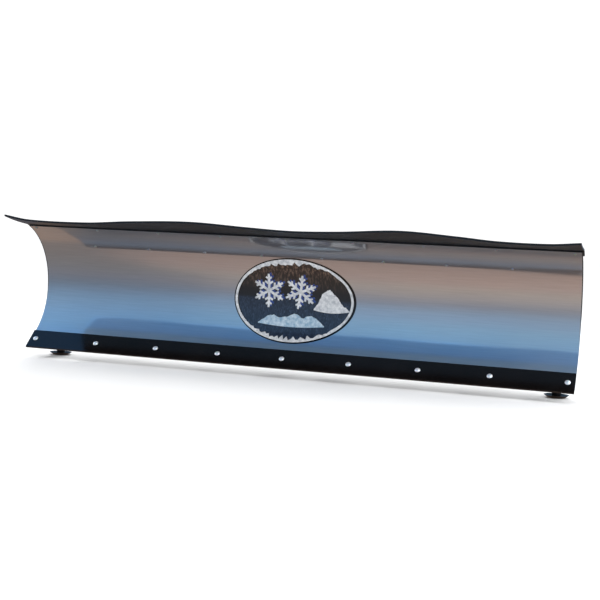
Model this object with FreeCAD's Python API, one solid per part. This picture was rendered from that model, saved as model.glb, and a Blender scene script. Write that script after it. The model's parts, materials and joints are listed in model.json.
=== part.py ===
"""ATV snow plow blade, as separate pieces: a rolled steel face sheet on a black rib frame, a bolted
cutting edge, a rubber snow deflector along the top, and two skid shoes that float and swivel.

Millimetres. +X runs along the blade, to the right as seen from in front. The working face looks
along -Y, and +Z is up. Pieces are drawn from the lower front corner of the cutting edge, and save()
moves them so that the origin is on the ground, under the middle of the whole blade.

The side profile lies in the Y-Z plane. The sheet's front surface is a flat land behind the cutting
edge, then one arc that curls forward at the top. "Behind" is always away from the snow.
"""

import FreeCAD, Part
import os
from math import asin, cos, degrees, pi, radians, sin, sqrt
from FreeCAD import Rotation, Vector

# ---- driving dimensions ----
BLADE_LENGTH = 1828.8  # 72 in
EDGE_CLEARANCE = 35.3  # front corner of the cutting edge above the ground
BAR_HEIGHT = 76.2  # cutting edge bar, 3 in x 1/4 in
BAR_THICKNESS = 6.35
ATTACK_ANGLE = 43.0  # cutting edge above the horizontal
FACE_RADIUS = 216.0  # of the sheet's front surface
BELLY_DEPTH = 134.0  # from the cutting edge back to the deepest line of the face
TOP_ANGLE = 67.7  # where the arc ends, above its centre
SHEET_THICKNESS = 3.0
SHEET_LAP_START = 18.0  # how far up the bar the sheet begins

BAR_BOLT_UP = BAR_HEIGHT / 2  # so that a worn bar can be turned over
BAR_BOLT_END_MARGIN = 22.0
BAR_BOLT_PITCH = 220.8
BAR_BOLTS_A_SIDE = 3  # at that pitch, besides the middle one and the end one
BASE_BAR_START = 22.0  # the backing bar behind the sheet, as a distance up the cutting edge
BASE_BAR_END = 72.0
BASE_BAR_THICKNESS = 6.0

RIB_PITCH = 201.5  # which the face bolts share
RIB_COUNT = 8
RIB_OFFSET = 16.0  # outboard of its face bolt
RIB_THICKNESS = 5.0
RIB_FOOT = 24.0
RIB_BACK = 172.0
RIB_KNEE_Z = 120.0  # where the rib's straight back starts to follow the arc
RIB_WAIST_ANGLE = 28.0
RIB_WAIST_DEPTH = 30.0
RIB_TOP_ANGLE = 57.0
RIB_TOP_DEPTH = 14.0

PIVOT_Y = 188.0
PIVOT_Z = 78.0
PIVOT_BORE_RADIUS = 8.1  # for a 5/8 in pin
PIVOT_BOSS_RADIUS = 22.0
PIVOT_GAP = 39.0  # between the inner rib and the ear beside it
EAR_THICKNESS = 6.35
EAR_TOP = 150.0

TUBE_SIDE = 38.1
TUBE_WALL = 3.0
TUBE_FRONT = 119.0
TUBE_BOTTOM = 78.0
TUBE_OVERHANG = 10.0  # past the outer ribs
CAP_PLATE = 3.0
CAP_PLUG = 12.0

RAIL_ANGLE = 40.2
RAIL_WIDTH = 38.0
RAIL_THICKNESS = 5.0
RAIL_END_MARGIN = 40.0

FLAP_THICKNESS = 6.0
FLAP_REACH = 153.0  # of the free lip, past the sheet's top edge
FLAP_ANGLE = 8.0  # of the lip, above the horizontal
FLAP_LAP = 30.0  # of the clamped edge, behind the sheet
FLAP_OVERHANG = 4.5  # past each end of the sheet
FLAP_LIFT = 40.0  # room for the lip to bend up before it meets the clamped edge
LIP_GAP = 0.3
STRIP_WIDTH = 20.0
STRIP_THICKNESS = 4.0
STRIP_INSET = 1.0
TOP_BOLT_DOWN = 11.0  # below the sheet's top edge

LUG_X = 152.4
LUG_BORE_RADIUS = 5.5
LUG_REACH = 28.0
LUG_BOSS_RADIUS = 13.0
LUG_ROOT_HALF = 19.0
LUG_THICKNESS = 6.0

SKID_X = 853.7
SKID_Y = 134.0
DISH_BASE_RADIUS = 26.0
DISH_RIM_RADIUS = 38.0
DISH_HEIGHT = 9.0
DISH_WALL = 2.8
DISH_FLOOR = 4.0
COLLAR_RADIUS = 14.0
COLLAR_TOP = 18.0  # above the ground, as are the heights worked out from it
POST_RADIUS = 10.0
POST_CHAMFER = 1.6
POST_CLEARANCE = 0.08
SPACER_COUNT = 4
SPACER_THICKNESS = 5.0
SPACER_GAP = 0.02
SLEEVE_LENGTH = 34.0
SLEEVE_RADIUS = 17.0
WASHER_COUNT = 2
WASHER_THICKNESS = 3.0
FLOAT_TRAVEL = 8.0
BRACKET_PLATE = 5.0
BRACKET_HALF_GAP = 15.0
BRACKET_BACK = 20.0  # behind the post
BRACKET_TOP_Z = 36.0
BRACKET_SHOULDER_Y = 72.0
BRACKET_BOTTOM_Z = 12.0
BRACKET_HEAD = 62.0  # up the cutting edge

PIN_RADIUS = 4.0
PIN_TIP = 16.5  # in front of the post's axis
PIN_HEAD_START = 17.6  # clear of the washers
PIN_HEAD_END = 27.0
PIN_HEAD_RADIUS = 6.5
PIN_HEAD_HALF_WIDTH = 4.0
RING_RADIUS = 22.3
RING_WIRE_RADIUS = 1.5
RING_BORE_RADIUS = 2.0
POST_ABOVE_PIN = 12.0

BADGE_WIDTH = 420.0
BADGE_HEIGHT = 276.0
BADGE_MIDDLE = 208.5
BADGE_THICKNESS = 0.4

# bolts: 5/16 in on the cutting edge, 1/4 in elsewhere
BAR_BOLT = {"head": 8.75, "dome": 4.4, "rim": 0.8, "shank": 3.9, "neck": 8.0, "neck_depth": 5.5}
SMALL_BOLT = {"head": 5.0, "dome": 2.6, "rim": 0.6, "shank": 3.1, "neck": 0.0, "neck_depth": 0.0}
BAR_NUT = {"flats": 12.7, "height": 8.0, "flange": 8.5, "flange_height": 1.8}
SMALL_NUT = {"flats": 10.0, "height": 6.0, "flange": 6.8, "flange_height": 1.4}
THREAD_SHOWING = 2.5
HOLE_CLEARANCE = 0.2
HAIR = 0.05  # clearance where one piece threads on, or sits against a curve
CUT_REACH = 60.0  # long enough for any hole to pass right through

# ---- the profile, worked out ----
HALF = BLADE_LENGTH / 2
UP_BAR = Vector(0, cos(radians(ATTACK_ANGLE)), sin(radians(ATTACK_ANGLE)))
BEHIND_BAR = Vector(0, sin(radians(ATTACK_ANGLE)), -cos(radians(ATTACK_ANGLE)))
ALONG_X = Vector(1, 0, 0)
ARC_START = ATTACK_ANGLE - 90.0
CENTRE_Y = BELLY_DEPTH - FACE_RADIUS
CENTRE_Z = (FACE_RADIUS - BAR_THICKNESS + CENTRE_Y * UP_BAR.z) / UP_BAR.y
ARC_CENTRE = Vector(0, CENTRE_Y, CENTRE_Z)
BAR_BOLT_HOLE = BAR_BOLT["shank"] + HOLE_CLEARANCE
NECK_HOLE = BAR_BOLT["neck"] + HOLE_CLEARANCE
SMALL_HOLE = SMALL_BOLT["shank"] + HOLE_CLEARANCE
BASE_BACK = SHEET_THICKNESS + BASE_BAR_THICKNESS
RAIL_BACK = SHEET_THICKNESS + RAIL_THICKNESS
FLAP_BACK = SHEET_THICKNESS + FLAP_THICKNESS
FLAP_HALF = HALF + FLAP_OVERHANG
STRIP_BACK = FLAP_BACK + STRIP_THICKNESS
RAIL_HALF_TURN = degrees(RAIL_WIDTH / 2 / (FACE_RADIUS + SHEET_THICKNESS))
TOP_BOLT_ANGLE = TOP_ANGLE - degrees(TOP_BOLT_DOWN / FACE_RADIUS)
FLAP_FORWARD = Vector(0, -cos(radians(FLAP_ANGLE)), sin(radians(FLAP_ANGLE)))
FLAP_UP = Vector(0, sin(radians(FLAP_ANGLE)), cos(radians(FLAP_ANGLE)))

BAR_BOLT_STATIONS = [
    -HALF + BAR_BOLT_END_MARGIN,
    *[i * BAR_BOLT_PITCH for i in range(-BAR_BOLTS_A_SIDE, BAR_BOLTS_A_SIDE + 1)],
    HALF - BAR_BOLT_END_MARGIN,
]
FACE_BOLT_STATIONS = [(i - (RIB_COUNT - 1) / 2) * RIB_PITCH for i in range(RIB_COUNT)]
RIB_STATIONS = [x + RIB_OFFSET * (1 if x > 0 else -1) for x in FACE_BOLT_STATIONS]
INNER_RIB_X = min(abs(x) for x in RIB_STATIONS)
EAR_OUTER_X = INNER_RIB_X - RIB_THICKNESS / 2 - PIVOT_GAP
TUBE_HALF_LENGTH = max(RIB_STATIONS) + RIB_THICKNESS / 2 + TUBE_OVERHANG

GROUND = -EDGE_CLEARANCE
SLEEVE_BOTTOM = GROUND + COLLAR_TOP + SPACER_COUNT * SPACER_THICKNESS
SLEEVE_TOP = SLEEVE_BOTTOM + SLEEVE_LENGTH
WASHERS_TOP = SLEEVE_TOP + WASHER_COUNT * WASHER_THICKNESS
PIN_Z = WASHERS_TOP + FLOAT_TRAVEL + PIN_RADIUS


def flat(up, behind=0.0):
    """A point on the flat land: `up` the cutting edge, `behind` the sheet's front surface."""
    return UP_BAR * up + BEHIND_BAR * (BAR_THICKNESS + behind)


def radial(angle):
    return Vector(0, cos(radians(angle)), sin(radians(angle)))


def curl(angle, behind=0.0):
    """A point on the curled part of the sheet, `behind` its front surface."""
    return ARC_CENTRE + radial(angle) * (FACE_RADIUS + behind)


TOP_CORNER = curl(TOP_ANGLE, SHEET_THICKNESS)
FRONT_LIMIT = (TOP_CORNER + FLAP_FORWARD * FLAP_REACH).y
BACK_LIMIT = PIVOT_Y + PIVOT_BOSS_RADIUS
TO_ROW_FRAME = Vector(0, -(FRONT_LIMIT + BACK_LIMIT) / 2, EDGE_CLEARANCE)


# ---- shape helpers ----
def outline(*path):
    """A closed face. Each item is a corner, or a (via, to) pair for an arc from the last corner."""
    edges = []
    here = path[0]
    for step in path[1:] + (path[0],):
        if isinstance(step, tuple):
            via, there = step
            edges.append(Part.Arc(here, via, there).toShape())
        else:
            there = step
            edges.append(Part.LineSegment(here, there).toShape())
        here = there
    return Part.Face(Part.Wire(edges))


def plate(face, x_start, x_end):
    """A face in the Y-Z plane, made solid between two stations along the blade."""
    placed = face.copy()
    placed.translate(Vector(x_start, 0, 0))
    return placed.extrude(Vector(x_end - x_start, 0, 0))


def centred_plate(face, x, thickness):
    return plate(face, x - thickness / 2, x + thickness / 2)


def band(start, end, near, far):
    """A strip that follows the curl between two angles and two depths behind the front surface."""
    middle = (start + end) / 2
    return outline(
        curl(start, near),
        (curl(middle, near), curl(end, near)),
        curl(end, far),
        (curl(middle, far), curl(start, far)),
    )


def box(low, high):
    size = high - low
    return Part.makeBox(size.x, size.y, size.z, low)


def turned(*path):
    """A solid turned about +Z from an outline in the X-Z plane."""
    return outline(*path).revolve(Vector(0, 0, 0), Vector(0, 0, 1), 360)


def ring(inner, outer, bottom, top):
    tube = Part.makeCylinder(outer, top - bottom, Vector(0, 0, bottom))
    return tube.cut(Part.makeCylinder(inner, top - bottom, Vector(0, 0, bottom)))


def place(shape, at, axis):
    """Stands a shape that is drawn along +Z at a point, along an axis in the Y-Z plane."""
    placed = shape.copy()
    placed.Placement = FreeCAD.Placement(at, Rotation(Vector(0, 0, 1), axis))
    return placed


def repeat(shape, stations, point, axis):
    """Copies of a shape at each station along the blade, on the same profile point."""
    return [place(shape, Vector(x, point.y, point.z), axis) for x in stations]


def drill(shape, stations, point, axis, radius):
    tool = Part.makeCylinder(radius, 2 * CUT_REACH, Vector(0, 0, -CUT_REACH))
    return shape.cut(repeat(tool, stations, point, axis))


def drill_square(shape, stations, point, axis, side):
    half = side / 2
    tool = box(Vector(-half, -half, -CUT_REACH), Vector(half, half, CUT_REACH))
    return shape.cut(repeat(tool, stations, point, axis))


def mirrored(shape):
    return shape.mirror(Vector(0, 0, 0), ALONG_X)


def save(name, shapes):
    """Writes one node, moved into the frame whose origin is on the ground."""
    parts = shapes if isinstance(shapes, list) else [shapes]
    solids = [solid for shape in parts for solid in shape.Solids]
    for solid in solids:
        if not solid.isValid() or solid.Volume <= 0:
            raise ValueError("a solid of %s is not sound" % name)
    node = solids[0].copy() if len(solids) == 1 else Part.makeCompound(solids)
    node.translate(TO_ROW_FRAME)
    node.exportStep("parts/%s.step" % name)
    print("%-24s %2d solid(s) %9.0f mm3" % (name, len(solids), node.Volume))


def save_pair(name, right_shapes):
    """Writes a right-hand piece and its mirror image."""
    save("right_" + name, right_shapes)
    parts = right_shapes if isinstance(right_shapes, list) else [right_shapes]
    save("left_" + name, [mirrored(shape) for shape in parts])


# ---- fasteners, drawn with the joint's front surface at z = 0 and the head above it ----
def bolt(kind, grip, nut):
    dome = kind["dome"]
    sphere = (kind["head"] ** 2 + dome**2) / (2 * dome)
    middle = (asin((sphere - dome) / sphere) + pi / 2) / 2
    crown = kind["rim"] + dome
    via = Vector(sphere * cos(middle), 0, crown - sphere + sphere * sin(middle))
    shape = turned(
        Vector(0, 0, HAIR),
        Vector(kind["head"], 0, HAIR),
        Vector(kind["head"], 0, kind["rim"]),
        (via, Vector(0, 0, crown)),
    )
    length = grip + nut["height"] + THREAD_SHOWING
    shape = shape.fuse(Part.makeCylinder(kind["shank"], length + HAIR, Vector(0, 0, -length)))
    if kind["neck"]:
        half = kind["neck"] / 2
        shape = shape.fuse(box(Vector(-half, -half, -kind["neck_depth"]), Vector(half, half, HAIR)))
    return shape.removeSplitter()


def flange_nut(nut, shank, grip):
    top = -grip
    corner = nut["flats"] / sqrt(3)
    corners = [
        Vector(corner * cos(pi * i / 3), corner * sin(pi * i / 3), top - nut["height"])
        for i in range(6)
    ]
    hexagon = Part.Face(Part.makePolygon(corners + corners[:1]))
    body = hexagon.extrude(Vector(0, 0, nut["height"]))
    seat = Vector(0, 0, top - nut["flange_height"])
    flange = Part.makeCylinder(nut["flange"], nut["flange_height"], seat)
    bore = Part.makeCylinder(shank + HAIR, nut["height"], Vector(0, 0, top - nut["height"]))
    return body.fuse(flange).removeSplitter().cut(bore)


# ---- the face: sheet, cutting edge and backing bar ----
def face_sheet():
    lap = flat(SHEET_LAP_START)
    lap_back = flat(SHEET_LAP_START, SHEET_THICKNESS)
    middle = (ARC_START + TOP_ANGLE) / 2
    section = outline(
        lap,
        curl(ARC_START),
        (curl(middle), curl(TOP_ANGLE)),
        TOP_CORNER,
        (curl(middle, SHEET_THICKNESS), curl(ARC_START, SHEET_THICKNESS)),
        lap_back,
    )
    sheet = plate(section, -HALF, HALF)
    sheet = drill(sheet, FACE_BOLT_STATIONS, curl(RAIL_ANGLE), radial(RAIL_ANGLE), SMALL_HOLE)
    sheet = drill(sheet, BAR_BOLT_STATIONS, curl(TOP_BOLT_ANGLE), radial(TOP_BOLT_ANGLE), SMALL_HOLE)
    return drill_square(sheet, BAR_BOLT_STATIONS, flat(BAR_BOLT_UP), BEHIND_BAR, NECK_HOLE)


def wear_bar():
    section = outline(
        Vector(0, 0, 0),
        UP_BAR * BAR_HEIGHT,
        UP_BAR * BAR_HEIGHT + BEHIND_BAR * BAR_THICKNESS,
        BEHIND_BAR * BAR_THICKNESS,
    )
    bar = plate(section, -HALF, HALF)
    return drill_square(bar, BAR_BOLT_STATIONS, flat(BAR_BOLT_UP), BEHIND_BAR, NECK_HOLE)


def base_bar_blank():
    section = outline(
        flat(BASE_BAR_START, SHEET_THICKNESS),
        flat(BASE_BAR_END, SHEET_THICKNESS),
        flat(BASE_BAR_END, BASE_BACK),
        flat(BASE_BAR_START, BASE_BACK),
    )
    return plate(section, -HALF, HALF)


def base_bar():
    return drill(base_bar_blank(), BAR_BOLT_STATIONS, flat(BAR_BOLT_UP), BEHIND_BAR, BAR_BOLT_HOLE)


def rail_blank():
    start = RAIL_ANGLE - RAIL_HALF_TURN
    end = RAIL_ANGLE + RAIL_HALF_TURN
    section = band(start, end, SHEET_THICKNESS, RAIL_BACK)
    return plate(section, -HALF + RAIL_END_MARGIN, HALF - RAIL_END_MARGIN)


def face_rail():
    return drill(rail_blank(), FACE_BOLT_STATIONS, curl(RAIL_ANGLE), radial(RAIL_ANGLE), SMALL_HOLE)


def badge():
    """An oval skin on the face, as wide as the ellipse that is its outline from in front."""
    shell = plate(band(ARC_START, TOP_ANGLE, -BADGE_THICKNESS, 0), -BADGE_WIDTH / 2, BADGE_WIDTH / 2)
    oval = Part.Ellipse(Vector(0, 0, BADGE_MIDDLE), BADGE_WIDTH / 2, BADGE_HEIGHT / 2).toShape()
    oval.rotate(Vector(0, 0, BADGE_MIDDLE), ALONG_X, 90)
    prism = Part.Face(Part.Wire([oval])).extrude(Vector(0, 2 * FACE_RADIUS, 0))
    return shell.common(prism)


# ---- the frame behind the sheet ----
def cross_tube_section(side):
    inset = (TUBE_SIDE - side) / 2
    y0 = TUBE_FRONT + inset
    z0 = TUBE_BOTTOM + inset
    return outline(
        Vector(0, y0, z0),
        Vector(0, y0 + side, z0),
        Vector(0, y0 + side, z0 + side),
        Vector(0, y0, z0 + side),
    )


def cross_tube():
    outside = plate(cross_tube_section(TUBE_SIDE), -TUBE_HALF_LENGTH, TUBE_HALF_LENGTH)
    inside = plate(
        cross_tube_section(TUBE_SIDE - 2 * TUBE_WALL), -TUBE_HALF_LENGTH, TUBE_HALF_LENGTH
    )
    return outside.cut(inside)


def tube_cap():
    """A push-in plug, drawn for the right-hand end."""
    end = TUBE_HALF_LENGTH
    head = plate(cross_tube_section(TUBE_SIDE), end, end + CAP_PLATE)
    plug = plate(cross_tube_section(TUBE_SIDE - 2 * TUBE_WALL - 2 * HAIR), end - CAP_PLUG, end)
    return head.fuse(plug).removeSplitter()


def rib_face():
    waist = curl(RIB_WAIST_ANGLE, SHEET_THICKNESS + RIB_WAIST_DEPTH)
    middle = (ARC_START + RIB_TOP_ANGLE) / 2
    return outline(
        flat(RIB_FOOT, SHEET_THICKNESS),
        curl(ARC_START, SHEET_THICKNESS),
        (curl(middle, SHEET_THICKNESS), curl(RIB_TOP_ANGLE, SHEET_THICKNESS)),
        curl(RIB_TOP_ANGLE, SHEET_THICKNESS + RIB_TOP_DEPTH),
        (waist, Vector(0, RIB_BACK, RIB_KNEE_Z)),
        Vector(0, RIB_BACK, TUBE_BOTTOM - TUBE_SIDE / 2),
        Vector(0, TUBE_FRONT, TUBE_BOTTOM - TUBE_SIDE - RIB_THICKNESS),
        flat(RIB_FOOT, BASE_BACK),
    )


def pivot_arm_face():
    """The part of an inner rib or an ear that reaches back to the pivot."""
    return outline(
        Vector(0, TUBE_FRONT, TUBE_BOTTOM - TUBE_SIDE),
        Vector(0, PIVOT_Y, PIVOT_Z - PIVOT_BOSS_RADIUS),
        (
            Vector(0, PIVOT_Y + PIVOT_BOSS_RADIUS, PIVOT_Z),
            Vector(0, PIVOT_Y, PIVOT_Z + PIVOT_BOSS_RADIUS),
        ),
        Vector(0, RIB_BACK, RIB_KNEE_Z),
        Vector(0, TUBE_FRONT, RIB_KNEE_Z),
    )


def frame_slots():
    """What the ribs and ears are notched for."""
    tube = plate(cross_tube_section(TUBE_SIDE + 2 * HAIR), -HALF, HALF)
    return [tube, base_bar_blank(), rail_blank()]


def rib(x):
    return centred_plate(rib_face(), x, RIB_THICKNESS).cut(frame_slots())


def pivot_rib(x):
    """An inner rib: the same plate, with an arm for the push frame's pin."""
    shape = centred_plate(rib_face(), x, RIB_THICKNESS)
    shape = shape.fuse(centred_plate(pivot_arm_face(), x, RIB_THICKNESS)).removeSplitter()
    return bore_pivot(shape.cut(frame_slots()))


def pivot_ear():
    """The right-hand ear: the lower half of an inner rib, in thicker plate."""
    x = EAR_OUTER_X - EAR_THICKNESS / 2
    shape = centred_plate(rib_face(), x, EAR_THICKNESS)
    shape = shape.fuse(centred_plate(pivot_arm_face(), x, EAR_THICKNESS)).removeSplitter()
    above = box(Vector(-HALF, -HALF, EAR_TOP), Vector(HALF, HALF, HALF))
    return bore_pivot(shape.cut(frame_slots() + [above]))


def bore_pivot(shape):
    bore = Part.makeCylinder(PIVOT_BORE_RADIUS, 2 * HALF, Vector(-HALF, PIVOT_Y, PIVOT_Z), ALONG_X)
    return shape.cut(bore)


def spring_lug():
    """The right-hand eye that a trip spring hooks into, welded across the rail's back."""
    out = radial(RAIL_ANGLE)
    along = radial(RAIL_ANGLE + 90)
    eye = curl(RAIL_ANGLE, RAIL_BACK + LUG_REACH)
    foot = curl(RAIL_ANGLE, SHEET_THICKNESS + RAIL_THICKNESS / 2)
    profile = outline(
        foot - along * LUG_ROOT_HALF,
        eye - along * LUG_BOSS_RADIUS,
        (eye + out * LUG_BOSS_RADIUS, eye + along * LUG_BOSS_RADIUS),
        foot + along * LUG_ROOT_HALF,
    )
    start = Vector(LUG_X - LUG_THICKNESS, eye.y, eye.z)
    bore = Part.makeCylinder(LUG_BORE_RADIUS, 2 * LUG_THICKNESS, start, ALONG_X)
    return centred_plate(profile, LUG_X, LUG_THICKNESS).cut([rail_blank(), bore])


# ---- the rubber deflector ----
def flap_clamped_edge():
    start = TOP_ANGLE - degrees(FLAP_LAP / (FACE_RADIUS + SHEET_THICKNESS))
    edge = plate(band(start, TOP_ANGLE, SHEET_THICKNESS, FLAP_BACK), -FLAP_HALF, FLAP_HALF)
    return drill(edge, BAR_BOLT_STATIONS, curl(TOP_BOLT_ANGLE), radial(TOP_BOLT_ANGLE), SMALL_HOLE)


def flap_lip():
    """The free lip. Its root is cut back at the top, so that it can bend up on the sheet's corner."""
    root = TOP_CORNER + FLAP_FORWARD * LIP_GAP
    tip = TOP_CORNER + FLAP_FORWARD * FLAP_REACH
    cut_back = FLAP_THICKNESS * sin(radians(FLAP_LIFT))
    section = outline(
        root,
        tip,
        tip + FLAP_UP * FLAP_THICKNESS,
        root + FLAP_UP * FLAP_THICKNESS + FLAP_FORWARD * cut_back,
    )
    return plate(section, -FLAP_HALF, FLAP_HALF)


def clamp_strip():
    radius = FACE_RADIUS + FLAP_BACK
    end = TOP_ANGLE - degrees(STRIP_INSET / radius)
    start = end - degrees(STRIP_WIDTH / radius)
    strip = plate(band(start, end, FLAP_BACK, STRIP_BACK), -HALF, HALF)
    return drill(strip, BAR_BOLT_STATIONS, curl(TOP_BOLT_ANGLE), radial(TOP_BOLT_ANGLE), SMALL_HOLE)


# ---- skids, drawn about +Z with the ground at z = 0 unless they are fixed to the blade ----
def skid_shoe():
    return turned(
        Vector(0, 0, 0),
        Vector(DISH_BASE_RADIUS, 0, 0),
        Vector(DISH_RIM_RADIUS, 0, DISH_HEIGHT),
        Vector(DISH_RIM_RADIUS - DISH_WALL, 0, DISH_HEIGHT),
        Vector(DISH_BASE_RADIUS - DISH_WALL / 2, 0, DISH_FLOOR),
        Vector(COLLAR_RADIUS, 0, DISH_FLOOR),
        Vector(COLLAR_RADIUS, 0, COLLAR_TOP),
        Vector(POST_RADIUS, 0, COLLAR_TOP),
        Vector(POST_RADIUS, 0, DISH_FLOOR),
        Vector(0, 0, DISH_FLOOR),
    )


def skid_post():
    top = PIN_Z - GROUND + POST_ABOVE_PIN
    post = turned(
        Vector(0, 0, DISH_FLOOR),
        Vector(POST_RADIUS, 0, DISH_FLOOR),
        Vector(POST_RADIUS, 0, top - POST_CHAMFER),
        Vector(POST_RADIUS - POST_CHAMFER, 0, top),
        Vector(0, 0, top),
    )
    across = Vector(0, -CUT_REACH, PIN_Z - GROUND)
    return post.cut(Part.makeCylinder(PIN_RADIUS + HAIR, 2 * CUT_REACH, across, Vector(0, 1, 0)))


def skid_spacers():
    """The height-setting spacers under the sleeve."""
    start = COLLAR_TOP + SPACER_GAP
    bottoms = [start + i * SPACER_THICKNESS for i in range(SPACER_COUNT)]
    inner = POST_RADIUS + POST_CLEARANCE
    return [
        ring(inner, COLLAR_RADIUS, bottom, bottom + SPACER_THICKNESS - 2 * SPACER_GAP)
        for bottom in bottoms
    ]


def skid_washers():
    """The washers that lie on the sleeve, under the lynch pin."""
    start = SLEEVE_TOP - GROUND
    inner = POST_RADIUS + POST_CLEARANCE
    return [
        ring(inner, SLEEVE_RADIUS, start + i * WASHER_THICKNESS, start + (i + 1) * WASHER_THICKNESS)
        for i in range(WASHER_COUNT)
    ]


def skid_sleeve():
    inner = POST_RADIUS + POST_CLEARANCE
    return ring(inner, SLEEVE_RADIUS, SLEEVE_BOTTOM - GROUND, SLEEVE_TOP - GROUND)


def lynch_pin():
    """The pin lies across the post, with its flattened head behind the post."""
    level = Vector(0, 0, PIN_Z - GROUND)
    back = Vector(0, 1, 0)
    shank = Part.makeCylinder(PIN_RADIUS, PIN_TIP + PIN_HEAD_START, level - back * PIN_TIP, back)
    head_length = PIN_HEAD_END - PIN_HEAD_START
    head = Part.makeCylinder(PIN_HEAD_RADIUS, head_length, level + back * PIN_HEAD_START, back)
    reach = Vector(PIN_HEAD_HALF_WIDTH, 2 * PIN_HEAD_END, 2 * PIN_HEAD_RADIUS)
    head = head.common(box(level - reach, level + reach))
    start = level + back * RING_RADIUS - ALONG_X * PIN_HEAD_END
    bore = Part.makeCylinder(RING_BORE_RADIUS, 2 * PIN_HEAD_END, start, ALONG_X)
    return shank.fuse(head).removeSplitter().cut(bore)


def lynch_ring():
    return Part.makeTorus(RING_RADIUS, RING_WIRE_RADIUS, Vector(0, 0, PIN_Z - GROUND))


def skid_bracket():
    """A channel over the right-hand sleeve, welded to the backing bar."""
    side = outline(
        flat(RIB_FOOT, BASE_BACK),
        flat(BRACKET_HEAD, BASE_BACK),
        Vector(0, BRACKET_SHOULDER_Y, BRACKET_TOP_Z),
        Vector(0, SKID_Y + BRACKET_BACK, BRACKET_TOP_Z),
        Vector(0, SKID_Y + BRACKET_BACK, BRACKET_BOTTOM_Z),
    )
    half_width = BRACKET_HALF_GAP + BRACKET_PLATE
    block = plate(side, SKID_X - half_width, SKID_X + half_width)
    hollow = box(
        Vector(SKID_X - BRACKET_HALF_GAP, -HALF, -HALF),
        Vector(SKID_X + BRACKET_HALF_GAP, HALF, BRACKET_TOP_Z - BRACKET_PLATE),
    )
    sleeve = Part.makeCylinder(SLEEVE_RADIUS, 2 * HALF, Vector(SKID_X, SKID_Y, -HALF))
    return block.cut([hollow, sleeve])


def at_skid(shapes):
    """Moves pieces that are drawn about +Z to the right-hand skid."""
    parts = shapes if isinstance(shapes, list) else [shapes]
    moved = [part.copy() for part in parts]
    for part in moved:
        part.translate(Vector(SKID_X, SKID_Y, GROUND))
    return moved


# ---- the nodes ----
def save_face():
    save("moldboard", face_sheet())
    save("wear_bar", wear_bar())
    save("base_bar", base_bar())
    save("face_rail", face_rail())
    save("badge", badge())


def save_frame():
    for number, x in enumerate(RIB_STATIONS, start=1):
        is_inner = abs(x) == INNER_RIB_X
        save("rib_%d" % number, pivot_rib(x) if is_inner else rib(x))
    save("cross_tube", cross_tube())
    save_pair("tube_cap", tube_cap())
    save_pair("pivot_ear", pivot_ear())
    save_pair("spring_lug", spring_lug())


def save_deflector():
    save("deflector_edge", flap_clamped_edge())
    save("deflector_lip", flap_lip())
    save("deflector_strip", clamp_strip())


def save_fasteners():
    """Each set of bolts and its nuts: where they sit, what they clamp, and which size they are."""
    bar = (UP_BAR * BAR_BOLT_UP, -BEHIND_BAR, BAR_THICKNESS + BASE_BACK)
    rail = (curl(RAIL_ANGLE), -radial(RAIL_ANGLE), RAIL_BACK)
    top = (curl(TOP_BOLT_ANGLE), -radial(TOP_BOLT_ANGLE), STRIP_BACK)
    sets = [
        ("wear_bar", BAR_BOLT_STATIONS, bar, BAR_BOLT, BAR_NUT),
        ("face", FACE_BOLT_STATIONS, rail, SMALL_BOLT, SMALL_NUT),
        ("deflector", BAR_BOLT_STATIONS, top, SMALL_BOLT, SMALL_NUT),
    ]
    for name, stations, (point, axis, grip), kind, nut in sets:
        save(name + "_bolts", repeat(bolt(kind, grip, nut), stations, point, axis))
        save(name + "_nuts", repeat(flange_nut(nut, kind["shank"], grip), stations, point, axis))


def save_skids():
    save_pair("skid_bracket", skid_bracket())
    save_pair("skid_sleeve", at_skid(skid_sleeve()))
    save_pair("skid_washers", at_skid(skid_washers()))
    save_pair("skid_spacers", at_skid(skid_spacers()))
    save_pair("skid_shoe", at_skid(skid_shoe()))
    save_pair("skid_post", at_skid(skid_post()))
    save_pair("lynch_pin", at_skid(lynch_pin()))
    save_pair("lynch_ring", at_skid(lynch_ring()))


def main():
    os.makedirs("parts", exist_ok=True)
    save_face()
    save_frame()
    save_deflector()
    save_fasteners()
    save_skids()
    pivot = Vector(0, PIVOT_Y, PIVOT_Z) + TO_ROW_FRAME
    eye = curl(RAIL_ANGLE, RAIL_BACK + LUG_REACH) + TO_ROW_FRAME
    hinge = TOP_CORNER + TO_ROW_FRAME
    print("pivot bore at y %.3f z %.3f, x %.3f to %.3f" % (
        pivot.y, pivot.z, EAR_OUTER_X - EAR_THICKNESS, INNER_RIB_X + RIB_THICKNESS / 2))
    print("spring eye at y %.3f z %.3f" % (eye.y, eye.z))
    print("deflector bends about y %.3f z %.3f" % (hinge.y, hinge.z))
    print("skids at x %.3f y %.3f, lynch ring turns about y %.3f z %.3f" % (
        SKID_X, SKID_Y + TO_ROW_FRAME.y, SKID_Y + RING_RADIUS + TO_ROW_FRAME.y, PIN_Z - GROUND))


main()
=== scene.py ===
"""The looks of the ATV plow blade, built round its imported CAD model. Metres, in the model's own frame:
+X along the blade, the working face looking along -Y, +Z up, and the ground at z = 0."""

import json
import random
from math import cos, degrees, pi, radians, sin, sqrt

import bmesh
import bpy
from mathutils import Matrix, Vector, noise


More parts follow.
